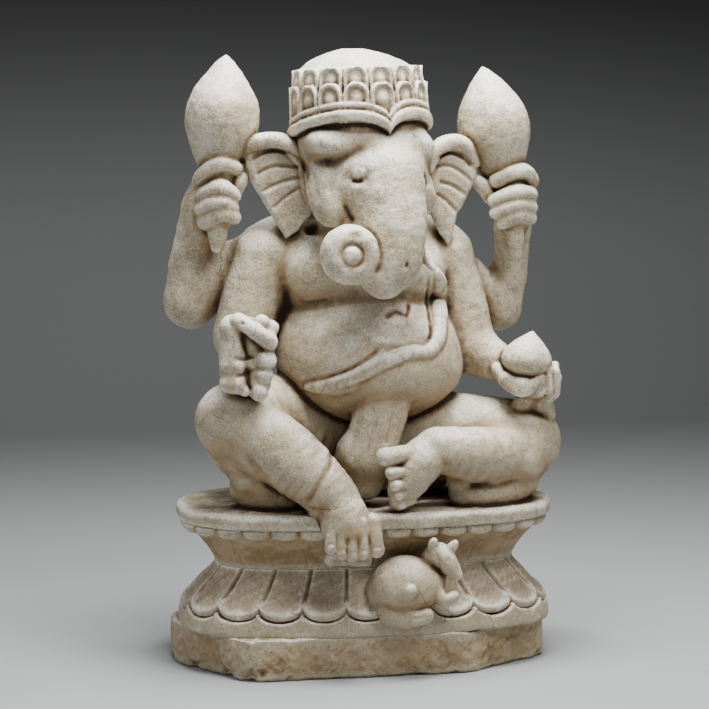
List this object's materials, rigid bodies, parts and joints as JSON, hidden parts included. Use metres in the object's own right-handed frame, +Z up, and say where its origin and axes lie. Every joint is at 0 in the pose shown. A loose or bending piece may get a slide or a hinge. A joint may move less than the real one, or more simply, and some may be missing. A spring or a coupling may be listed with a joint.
{
  "type": "ganesha idol",
  "caption": "Seated elephant-headed devotional figure with lotus buds, a sweet and a mouse, on a petalled lotus base, carved from one block of white marble.",
  "frame": {"origin": "middle of the flat underside of the plinth", "axes": "+Z up, the figure faces -Y, +X is the viewer's right when facing the front"},
  "size_m": [0.3866, 0.2278, 0.6001],
  "materials": {
    "carved_marble": "hand-carved grey-white marble, honed matt, with warm patina in the hollows",
    "worn_marble": "the same marble worn smooth and paler where it has been touched",
    "rough_marble": "rough-hewn marble with chisel marks, chips and ingrained dirt"
  },
  "bodies": {
    "root": {"plinth": "rough_marble", "plinth_ledge": "rough_marble", "lower_tier": "carved_marble", "upper_tier": "carved_marble", "seat_slab": "worn_marble", "lower_petals": "carved_marble", "upper_petals": "carved_marble", "mouse_body": "carved_marble", "mouse_head": "worn_marble", "mouse_paws": "carved_marble", "hips": "carved_marble", "belly": "carved_marble", "chest": "carved_marble", "loincloth": "worn_marble", "sacred_thread": "worn_marble", "right_thigh": "carved_marble", "right_shin": "carved_marble", "right_foot": "worn_marble", "right_drape": "carved_marble", "left_thigh": "carved_marble", "left_shin": "carved_marble", "left_foot": "worn_marble", "left_drape": "carved_marble", "front_right_upper_arm": "carved_marble", "front_right_forearm": "carved_marble", "front_right_hand": "worn_marble", "front_left_upper_arm": "carved_marble", "front_left_forearm": "carved_marble", "front_left_hand": "worn_marble", "sweet": "worn_marble", "hand_strut": "carved_marble", "rear_right_upper_arm": "carved_marble", "rear_right_forearm": "carved_marble", "rear_right_hand": "carved_marble", "rear_right_bud": "worn_marble", "rear_right_stem": "carved_marble", "rear_left_upper_arm": "carved_marble", "rear_left_forearm": "carved_marble", "rear_left_hand": "carved_marble", "rear_left_bud": "worn_marble", "rear_left_stem": "carved_marble", "head": "worn_marble", "trunk": "worn_marble", "trunk_curl": "worn_marble", "right_tusk": "worn_marble", "left_tusk": "worn_marble", "right_ear": "carved_marble", "left_ear": "carved_marble", "crown_band": "worn_marble", "crown_drum": "carved_marble", "crown_dome": "worn_marble", "crown_petals": "worn_marble"}
  },
  "joints": []
}
